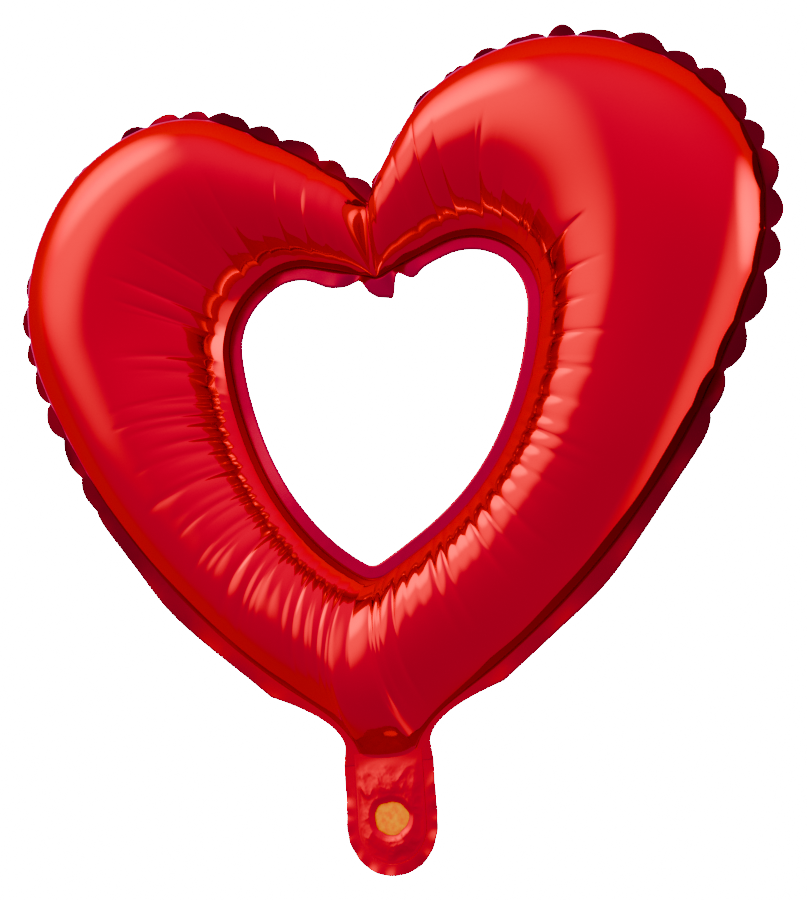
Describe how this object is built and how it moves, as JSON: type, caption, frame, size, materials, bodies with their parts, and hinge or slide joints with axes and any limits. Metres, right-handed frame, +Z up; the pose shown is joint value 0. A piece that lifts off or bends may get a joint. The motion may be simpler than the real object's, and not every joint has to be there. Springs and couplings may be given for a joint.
{
  "type": "foil balloon",
  "caption": "Inflated heart-shaped foil balloon with an open heart centre, puckered outer seam and a filling tail with a film valve below its point.",
  "frame": {"origin": "middle of the neck, where the heart's lower point meets the filling tail and a ribbon is tied", "axes": "+Z up through the heart, +X to the right seen from the front, -Y towards the front"},
  "size_m": [0.3592, 0.0926, 0.3646],
  "materials": {
    "foil": "mirror-gloss red metallised film",
    "welded_foil": "two red metallised films heat-sealed together, gloss with fine crinkles",
    "valve_film": "clear plastic film",
    "release_coat": "translucent orange heat-proof ink"
  },
  "bodies": {
    "balloon": {"front_panel": "foil", "rear_panel": "foil", "outer_seam": "welded_foil", "inner_seam": "welded_foil", "valve_sleeve": "valve_film"},
    "tail": {"tail_seam": "welded_foil", "tail_front_film": "foil", "tail_rear_film": "foil", "valve_front_film": "valve_film", "valve_welds": "valve_film"},
    "valve_flap": {"valve_rear_film": "valve_film", "release_coat": "release_coat"}
  },
  "joints": [
    {"name": "tail_swing", "type": "hinge", "parent": "balloon", "child": "tail", "pos_m": [0, 0, 0], "axis": [1, 0, 0], "range_deg": [-90, 90]},
    {"name": "valve_opening", "type": "hinge", "parent": "tail", "child": "valve_flap", "pos_m": [0, 0.00035, -0.041], "axis": [-1, 0, 0], "range_deg": [0, 4], "stiffness_Nm_per_rad": 0.0002}
  ]
}
